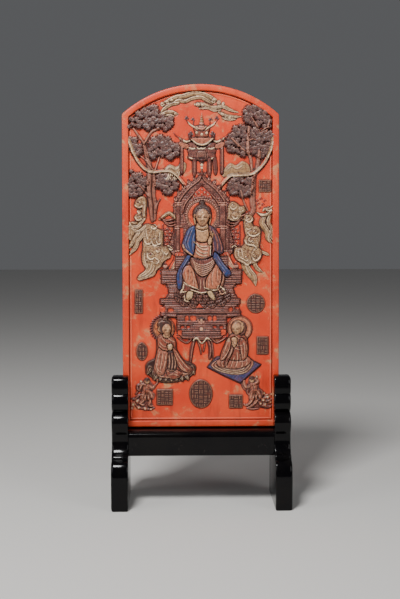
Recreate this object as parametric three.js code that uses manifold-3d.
// Cinnabar lacquer stele standing in a black lacquer stand.
// Millimetres, +Z up. The viewer looks along +Y at the carved face, with +X to the right.
// The origin is on the floor, at the middle of the stand's feet.
import * as THREE from "three";
import { mergeVertices } from "three/addons/utils/BufferGeometryUtils.js";
import Module from "manifold-3d";

const wasm = await Module();
wasm.setup();

// Driving dimensions of the panel
const panelWidth = 160;
const panelHeight = 350;
const archRise = 30.5;
const shoulderRadius = 4;
const panelDepth = 18;
const groundDepth = 15.2;
const rimWidth = 6;
const beadWidth = 2;
const beadDepth = 16.6;
const edgeBevel = 0.8;
const reliefRoot = 1.2;

// Driving dimensions of the stand
const boardThickness = 17;
const standGap = 148;
const footDepth = 74;
const hornHeight = 132;
const boardBevel = 1.6;
const railTop = 77;
const railHeight = 26;
const railFront = -15;
const railDepth = 40;
const railRound = 2.5;
const railCrown = { depth: 12, drop: 7 };
const tenon = { length: 9, height: 14, depth: 18 };
const lean = THREE.MathUtils.degToRad(3);
const panelFront = -1;
const clearance = 0.3;

// Facets: sides of a swelling, rows of a swelling, sides of an oval and steps along the arch
const facets = { domeSides: 8, domeRows: 4, oval: 20, arch: 24, curve: 5 };

// Colours, roughness and metalness of the two lacquers
const cinnabar = { color: 0xb8371d, roughness: 0.45, metalness: 0 };
const blackLacquer = { color: 0x0b0a0c, roughness: 0.12, metalness: 0 };

// Solids: a closed geometry becomes a manifold for joining and cutting, and turns back into one

function toSolid(geometry) {
  const bare = geometry.clone();
  bare.deleteAttribute("normal");
  bare.deleteAttribute("uv");
  const welded = mergeVertices(bare, 1e-4);
  return new wasm.Manifold(
    new wasm.Mesh({
      numProp: 3,
      vertProperties: new Float32Array(welded.attributes.position.array),
      triVerts: new Uint32Array(welded.index.array),
    }),
  );
}

function toGeometry(solid) {
  const mesh = solid.getMesh();
  const geometry = new THREE.BufferGeometry();
  geometry.setAttribute("position", new THREE.BufferAttribute(mesh.vertProperties, 3));
  geometry.setIndex(new THREE.BufferAttribute(mesh.triVerts, 1));
  geometry.computeVertexNormals();
  return geometry;
}

function boxSolid(size, centre) {
  return toSolid(new THREE.BoxGeometry(...size).translate(...centre));
}

// Points on an arc, both ends included; angles in degrees, anticlockwise when end is above start
function arcPoints(cx, cy, radius, start, end, steps) {
  return Array.from({ length: steps + 1 }, (_, i) => {
    const angle = THREE.MathUtils.degToRad(start + ((end - start) * i) / steps);
    return new THREE.Vector2(cx + radius * Math.cos(angle), cy + radius * Math.sin(angle));
  });
}

function circlePoints(cx, cy, radius) {
  return arcPoints(cx, cy, radius, 0, 360, facets.oval).slice(0, -1);
}

// Panel outline: straight sides under a segmental arch, shoulders rounded, set in by a margin.
// The panel's own frame is u to the right of its middle, v up from its bottom edge and d from
// its back towards the viewer.
function archShape(margin) {
  const half = panelWidth / 2;
  const archRadius = (half * half + archRise * archRise) / (2 * archRise);
  const archCentre = panelHeight - archRadius;
  const radius = archRadius - margin;
  const side = half - margin;
  const corner = Math.max(shoulderRadius - margin, 0.6);
  const cornerX = side - corner;
  const reach = radius - corner;
  const cornerY = archCentre + Math.sqrt(reach * reach - cornerX * cornerX);
  const turn = THREE.MathUtils.radToDeg(Math.atan2(cornerY - archCentre, cornerX));
  return new THREE.Shape([
    new THREE.Vector2(-side, margin),
    new THREE.Vector2(side, margin),
    ...arcPoints(cornerX, cornerY, corner, 0, turn, 3),
    ...arcPoints(0, archCentre, radius, turn, 180 - turn, facets.arch).slice(1, -1),
    ...arcPoints(-cornerX, cornerY, corner, 180 - turn, 180, 3),
  ]);
}

function extrudeSolid(shape, from, to, bevel = 0) {
  const geometry = new THREE.ExtrudeGeometry(shape, {
    depth: to - from - 2 * bevel,
    bevelEnabled: bevel > 0,
    bevelThickness: bevel,
    bevelSize: bevel,
    bevelOffset: -bevel,
    bevelSegments: 2,
    curveSegments: facets.curve,
  });
  return toSolid(geometry.translate(0, 0, from + bevel));
}

// Relief masses, all in the panel's own frame and rooted a little below the carved ground
const relief = [];

// Smooth swelling, such as a head, a knee, a rock or a puff of leaves
function dome(u, v, wide, tall, rise, turn = 0) {
  const geometry = new THREE.SphereGeometry(1, facets.domeSides, facets.domeRows);
  geometry.rotateX(Math.PI / 2);
  geometry.scale(wide / 2, tall / 2, rise + reliefRoot);
  geometry.rotateZ(THREE.MathUtils.degToRad(turn));
  relief.push(toSolid(geometry.translate(u, v, groundDepth - reliefRoot)));
}

// Flat-topped raised area
function plate(shape, rise) {
  relief.push(extrudeSolid(shape, groundDepth - reliefRoot, groundDepth + rise));
}

function block(u, v, wide, tall, rise) {
  const shape = new THREE.Shape([
    new THREE.Vector2(u - wide / 2, v - tall / 2),
    new THREE.Vector2(u + wide / 2, v - tall / 2),
    new THREE.Vector2(u + wide / 2, v + tall / 2),
    new THREE.Vector2(u - wide / 2, v + tall / 2),
  ]);
  plate(shape, rise);
}

function disc(u, v, wide, tall, rise) {
  const shape = new THREE.Shape(
    circlePoints(0, 0, 1).map((p) => new THREE.Vector2(u + (p.x * wide) / 2, v + (p.y * tall) / 2)),
  );
  plate(shape, rise);
}

function ring(u, v, radius, width, rise) {
  const shape = new THREE.Shape(circlePoints(u, v, radius + width / 2));
  shape.holes.push(new THREE.Path(circlePoints(u, v, radius - width / 2).reverse()));
  plate(shape, rise);
}

// Band of changing width along a smooth line, such as a trunk, a scarf or a drift of cloud
function band(stops, startWidth, endWidth, rise, steps = 9) {
  const line = new THREE.SplineCurve(stops.map(([u, v]) => new THREE.Vector2(u, v)));
  const left = [];
  const right = [];
  for (let i = 0; i <= steps; i += 1) {
    const t = i / steps;
    const point = line.getPoint(t);
    const along = line.getTangent(t);
    const half = THREE.MathUtils.lerp(startWidth, endWidth, t) / 2;
    left.push(new THREE.Vector2(point.x - along.y * half, point.y + along.x * half));
    right.unshift(new THREE.Vector2(point.x + along.y * half, point.y - along.x * half));
  }
  plate(new THREE.Shape([...right, ...left]), rise);
}

// Bank of puffs in an oval area, placed by the golden angle so that no two line up
function puffs(u, v, wide, tall, count, size, rise) {
  for (let i = 0; i < count; i += 1) {
    const out = Math.sqrt((i + 0.5) / count);
    const angle = i * THREE.MathUtils.degToRad(137.5);
    const du = 0.5 * (wide - size) * out * Math.cos(angle);
    const dv = 0.5 * (tall - size * 0.7) * out * Math.sin(angle);
    dome(u + du, v + dv, size, size * 0.7, rise * (1 - 0.25 * out));
  }
}

// Sky: a long drift of cloud under the arch with smaller ones below it
function carveSky() {
  band([[-44, 334], [-26, 338], [-10, 335], [4, 339], [24, 335]], 3, 5, 1.3);
  band([[-6, 328], [10, 331], [26, 327], [37, 322]], 4, 2.5, 1.2);
  band([[-42, 322], [-33, 325], [-24, 319]], 2.5, 3.5, 1.2, 8);
  band([[20, 319], [30, 319], [40, 315]], 3, 2.5, 1.2, 8);
}

// Canopy over the throne: finial, small roof, drum, wide roof with swept eaves, cloth body
function roof(u, v, halfWidth, tall, sweep, rise) {
  const side = [];
  for (let i = 0; i <= 6; i += 1) {
    const t = i / 6;
    side.push(new THREE.Vector2(halfWidth * t, tall * (1 - t) ** 1.6 + sweep * t ** 4));
  }
  const under = side.map((p) => new THREE.Vector2(p.x, Math.min(p.y - 1.2, sweep * (p.x / halfWidth) ** 4 - 1.2)));
  const rightHalf = [...side, ...under.reverse()];
  const leftHalf = rightHalf
    .map((p) => new THREE.Vector2(-p.x, p.y))
    .reverse()
    .slice(1, -1);
  const shape = new THREE.Shape([...rightHalf, ...leftHalf].map((p) => new THREE.Vector2(u + p.x, v + p.y)));
  plate(shape, rise);
}

function carveCanopy() {
  const middle = 1.4;
  dome(middle, 317, 4.5, 9, 2);
  dome(middle, 311, 8, 4, 2.2);
  roof(middle, 305, 13.5, 5, 4, 2);
  block(middle, 300.5, 18, 7, 1.6);
  roof(middle, 290.5, 27.5, 9, 7, 2.2);
  block(middle, 283, 29, 15, 1.8);
  for (const side of [-1, 1]) {
    dome(middle + side * 13, 294.5, 4, 7, 2);
    band([[middle + side * 20, 289], [middle + side * 20.5, 267]], 3.6, 3, 1.4, 4);
    band([[middle + side * 8.5, 275], [middle + side * 9.5, 256]], 3.2, 2.6, 1.3, 4);
  }
  dome(middle, 263, 9, 15, 2);
}

// Throne back: an ogee-headed board with the round halo on it, and a column each side
function carveThroneBack() {
  const middle = 1.6;
  const foot = 172;
  const springing = 232;
  const peak = 262;
  const half = 26;
  const sides = [];
  for (let i = 0; i <= 10; i += 1) {
    const t = i / 10;
    const swell = Math.cos((t * Math.PI) / 2) ** 0.8 + 0.1 * Math.sin(2 * Math.PI * t);
    sides.push(new THREE.Vector2(half * Math.max(swell, 0), springing + (peak - springing) * t));
  }
  const rightSide = [new THREE.Vector2(half, foot), ...sides];
  const leftSide = rightSide.map((p) => new THREE.Vector2(-p.x, p.y)).reverse().slice(1);
  plate(
    new THREE.Shape([...rightSide, ...leftSide].map((p) => new THREE.Vector2(middle + p.x, p.y))),
    1.2,
  );
  ring(middle, 218, 15.6, 3, 1.8);
  for (const side of [-1, 1]) {
    block(middle + side * 34, 197, 9, 34, 1.4);
    dome(middle + side * 34, 217, 12, 9, 1.8);
  }
}

// Throne base: stepped tiers round a lotus, a hanging cloth and the altar's legs
function carveThroneBase() {
  const middle = 0.8;
  const tiers = [
    { v: 155.5, wide: 82, tall: 7, rise: 1.5 },
    { v: 147, wide: 78, tall: 8, rise: 1.9 },
    { v: 137, wide: 66, tall: 11, rise: 1.4 },
    { v: 127, wide: 80, tall: 8, rise: 1.9 },
    { v: 118.5, wide: 84, tall: 7, rise: 1.5 },
    { v: 105, wide: 50, tall: 19, rise: 1.3 },
  ];
  for (const tier of tiers) {
    block(middle, tier.v, tier.wide, tier.tall, tier.rise);
  }
  for (let i = -3; i <= 3; i += 1) {
    dome(middle + i * 7.6, 131 - Math.abs(i) * 0.4, 8, 15, 3.1 - 0.2 * Math.abs(i));
  }
  dome(middle, 107, 14, 14, 2.2);
  for (const side of [-1, 1]) {
    band([[middle + side * 9.5, 96], [middle + side * 9, 80], [middle + side * 10.5, 68]], 5.5, 4, 1.4, 6);
  }
  disc(middle, 80, 9, 14, 1);
}

// The seated figure: head with a low top-knot, chest, robe, raised hand, knees, hem and feet
function carveSeatedFigure() {
  dome(1.4, 216.6, 15.5, 19.5, 4.6);
  dome(1.4, 225.5, 9.5, 8, 3.6);
  dome(1.2, 205, 9, 8, 3);
  dome(0.6, 193, 38, 28, 3.4);
  dome(0.6, 181, 30, 26, 3.2);
  dome(-14.5, 187, 13, 30, 3.6, -12);
  dome(16.5, 187, 13, 28, 3.6, 14);
  dome(10, 193, 7, 9, 4.4, 20);
  dome(0.8, 168, 46, 18, 3);
  dome(-13, 162, 19, 16, 4.2, 15);
  dome(17, 164, 19, 16, 4.2, -15);
  dome(-11, 150, 14, 26, 3.6, 6);
  dome(14, 151, 14, 26, 3.6, -6);
  dome(1.5, 150, 22, 24, 2.4);
  dome(-11, 136.5, 11, 6, 4);
  dome(11, 136.5, 11, 6, 4);
  band([[-24, 176], [-27, 160], [-25, 142]], 5, 7, 1.8, 6);
  band([[25, 176], [31, 166], [33, 158]], 5, 5, 1.8, 6);
}

// Trees: forked trunks that lean in from the sides, with rounded pads of needles
function carveTrees() {
  const pads = [
    { u: -51, v: 315, wide: 44, tall: 24, count: 6 },
    { u: -43, v: 284, wide: 38, tall: 23, count: 5 },
    { u: -62, v: 249, wide: 19, tall: 22, count: 3 },
    { u: -34, v: 248, wide: 23, tall: 20, count: 3 },
    { u: 57, v: 315, wide: 30, tall: 24, count: 4 },
    { u: 49, v: 292, wide: 46, tall: 28, count: 6 },
    { u: 40, v: 245, wide: 27, tall: 22, count: 4 },
  ];
  for (const pad of pads) {
    puffs(pad.u, pad.v, pad.wide, pad.tall, pad.count, 13, 2.2);
  }
  band([[-50, 212], [-50, 232], [-53, 250], [-46, 268], [-50, 300]], 9, 3.5, 2);
  band([[-52, 246], [-60, 238], [-66, 244]], 4, 2.5, 1.7, 6);
  band([[53, 216], [54, 236], [51, 254], [54, 274], [48, 298]], 8, 3.5, 2);
  band([[52, 252], [44, 244], [36, 248]], 4, 2.5, 1.7, 6);
}

// Pale ribbons of light that sweep in from both edges to the canopy
function carveLightBands() {
  band([[-72, 288], [-62, 272], [-49, 260.5], [-29, 260], [-19, 252], [-15.5, 244]], 2.6, 2.6, 1.5, 12);
  band([[72, 290], [62, 270], [54, 258], [34, 256.5], [25, 252], [19, 244]], 2.6, 2.6, 1.5, 12);
}

// Rocks and drifting cloud below the trees
function carveRocks() {
  const lumps = [
    { u: -62, v: 222, wide: 15, tall: 27 },
    { u: -66, v: 192, wide: 14, tall: 34 },
    { u: -50, v: 190, wide: 19, tall: 30 },
    { u: -54, v: 168, wide: 12, tall: 22 },
    { u: 65, v: 206, wide: 14, tall: 38 },
    { u: 53, v: 194, wide: 16, tall: 42 },
    { u: 50, v: 176, wide: 24, tall: 18 },
    { u: 56, v: 158, wide: 10, tall: 20 },
  ];
  for (const lump of lumps) {
    dome(lump.u, lump.v, lump.wide, lump.tall, 2.2, lump.u < 0 ? 12 : -12);
    dome(lump.u + 2, lump.v - lump.tall * 0.2, lump.wide * 0.6, lump.tall * 0.5, 2.8);
  }
}

// A standing attendant on a base, with a halo: side is -1 for the left one and 1 for the right
function carveAttendant(side, u, v) {
  ring(u, v, 13, 2.2, 1.2);
  dome(u, v, 10.5, 13, 3.8);
  dome(u + side * 1, v - 19, 23, 26, 3.2);
  dome(u + side * 2.5, v - 36, 26, 24, 3);
  dome(u - side * 3, v - 17, 9, 9, 4);
}

function carveAttendants() {
  carveAttendant(-1, -37.5, 101.5);
  for (let i = -2; i <= 2; i += 1) {
    dome(-30 + i * 9, 57.5 + Math.abs(i) * 1.2, 12, 15, 2);
  }
  carveAttendant(1, 39.5, 101.5);
  const mat = new THREE.Shape([
    new THREE.Vector2(8, 60),
    new THREE.Vector2(34, 45),
    new THREE.Vector2(61, 58),
    new THREE.Vector2(36, 74),
  ]);
  plate(mat, 1.4);
}

// Small kneeling figures with animals at the bottom corners
function carveCornerGroups() {
  for (const group of [{ u: -57, v: 34 }, { u: 57, v: 35 }]) {
    dome(group.u, group.v - 4, 20, 14, 2.2);
    dome(group.u - 4, group.v + 4, 9, 12, 2.6);
    dome(group.u - 4, group.v + 11, 6, 6.5, 3);
    dome(group.u + 7, group.v - 2, 11, 13, 2.4);
  }
}

// Seal marks: low plates, square, oblong, oval and round
function carveSeals() {
  const rise = 0.8;
  block(66, 247, 12.2, 12.2, rise);
  block(-62.9, 128.7, 8.2, 24, rise);
  block(63.6, 83, 11.7, 18.3, rise);
  block(-36.3, 30.5, 16.1, 16.2, rise);
  block(36.4, 25.5, 13.9, 13.5, rise);
  disc(61.8, 230, 11, 12, rise);
  disc(56.4, 126.5, 19, 20, rise);
  disc(-59.3, 77.5, 11.8, 19, rise);
  disc(0.8, 33.5, 24, 29.5, rise);
}

function panelSolid() {
  carveSky();
  carveCanopy();
  carveThroneBack();
  carveThroneBase();
  carveSeatedFigure();
  carveTrees();
  carveLightBands();
  carveRocks();
  carveAttendants();
  carveCornerGroups();
  carveSeals();
  const slab = extrudeSolid(archShape(0), 0, panelDepth, edgeBevel);
  const insideRim = extrudeSolid(archShape(rimWidth), 0, 2 * panelDepth);
  const field = extrudeSolid(archShape(rimWidth), groundDepth, 2 * panelDepth);
  const beadOuter = extrudeSolid(archShape(rimWidth - clearance), groundDepth - reliefRoot, beadDepth);
  const beadInner = extrudeSolid(archShape(rimWidth + beadWidth), 0, panelDepth);
  const bead = beadOuter.subtract(beadInner);
  const carving = wasm.Manifold.union(relief).intersect(insideRim);
  return slab.subtract(field).add(bead).add(carving);
}

// Side board profile, front to the left: a lobed horn over a second lobe, a hollow neck, and a
// foot with a rounded shoulder. The hidden back is a plain curve.
function boardShape() {
  const foot = footDepth / 2;
  const shape = new THREE.Shape();
  shape.moveTo(-foot, 0);
  shape.lineTo(foot, 0);
  shape.lineTo(foot, 26);
  shape.quadraticCurveTo(foot, 42, foot - 8, 50);
  shape.quadraticCurveTo(foot - 14, 62, foot - 8, 78);
  shape.quadraticCurveTo(foot - 2, 98, foot - 6, 114);
  shape.quadraticCurveTo(foot - 9, hornHeight - 4, foot - 20, hornHeight - 4);
  shape.lineTo(0, hornHeight);
  shape.lineTo(-7, hornHeight);
  shape.quadraticCurveTo(-13, hornHeight, -13.5, 121);
  shape.quadraticCurveTo(-14, 115, -12.5, 114);
  shape.quadraticCurveTo(-17, 108, -14.5, 101);
  shape.quadraticCurveTo(-13, 97, -10.5, 95);
  shape.quadraticCurveTo(-18, 93, -19, 85);
  shape.quadraticCurveTo(-19.5, 78, -15.5, 74);
  shape.quadraticCurveTo(-13.5, 62, -21, 54.5);
  shape.lineTo(-24.5, 53.5);
  shape.lineTo(-25, 50);
  shape.quadraticCurveTo(-34, 49, -36, 40);
  shape.lineTo(-foot, 30);
  return shape;
}

// One side board in its own frame: x from front to back, y up and z to the viewer's right.
// Its groove, which holds the panel's edge, and the rail's mortise are on its inner face.
function boardSolid(innerSide) {
  const board = extrudeSolid(boardShape(), 0, boardThickness, boardBevel);
  const inner = innerSide > 0 ? boardThickness : 0;
  const grooveDepth = (panelWidth - standGap) / 2 + clearance;
  const groove = new THREE.BoxGeometry(panelDepth + 2 * clearance, hornHeight, 2 * grooveDepth);
  groove.translate(-panelDepth / 2, hornHeight / 2 - clearance, 0);
  groove.rotateZ(-lean);
  groove.translate(panelBack(), railTop + clearance, inner);
  const mortise = boxSolid(
    [tenon.depth + 2 * clearance, tenon.height + 2 * clearance, 2 * (tenon.length + clearance)],
    [railFront + railDepth / 2, railTop - railHeight / 2, inner],
  );
  return board.subtract(toSolid(groove)).subtract(mortise);
}

// Where the panel's bottom back edge stands, so that its bottom front edge is at panelFront
function panelBack() {
  return panelFront + panelDepth * Math.cos(lean);
}

// Rail in the same frame as the boards: soft rounded top front, small rounds elsewhere
function railSolid() {
  const bottom = railTop - railHeight;
  const back = railFront + railDepth;
  const shape = new THREE.Shape();
  shape.moveTo(railFront + railRound, bottom);
  shape.lineTo(back - railRound, bottom);
  shape.quadraticCurveTo(back, bottom, back, bottom + railRound);
  shape.lineTo(back, railTop - railRound);
  shape.quadraticCurveTo(back, railTop, back - railRound, railTop);
  shape.lineTo(railFront + railCrown.depth, railTop);
  shape.quadraticCurveTo(railFront, railTop, railFront, railTop - railCrown.drop);
  shape.lineTo(railFront, bottom + railRound);
  shape.quadraticCurveTo(railFront, bottom, railFront + railRound, bottom);
  const length = standGap - 2 * clearance;
  const tenons = boxSolid(
    [tenon.depth, tenon.height, standGap + 2 * tenon.length],
    [railFront + railDepth / 2, railTop - railHeight / 2, 0],
  );
  return extrudeSolid(shape, -length / 2, length / 2).add(tenons);
}

function namedMesh(name, solid, finish) {
  const mesh = new THREE.Mesh(toGeometry(solid), new THREE.MeshStandardMaterial(finish));
  mesh.name = name;
  return mesh;
}

const stele = new THREE.Group();

const panel = namedMesh("stele_panel", panelSolid(), cinnabar);
panel.position.set(0, panelBack(), railTop + clearance);
panel.rotation.x = Math.PI / 2 - lean;
stele.add(panel);

// The stand's own frame turns its front-to-back axis to +Y and its sideways axis to +X
const stand = new THREE.Group();
stand.rotation.set(Math.PI / 2, Math.PI / 2, 0);
const leftSide = namedMesh("stand_left_side", boardSolid(1), blackLacquer);
leftSide.position.z = -standGap / 2 - boardThickness;
const rightSide = namedMesh("stand_right_side", boardSolid(-1), blackLacquer);
rightSide.position.z = standGap / 2;
const rail = namedMesh("stand_rail", railSolid(), blackLacquer);
stand.add(leftSide, rightSide, rail);
stele.add(stand);

export default stele;
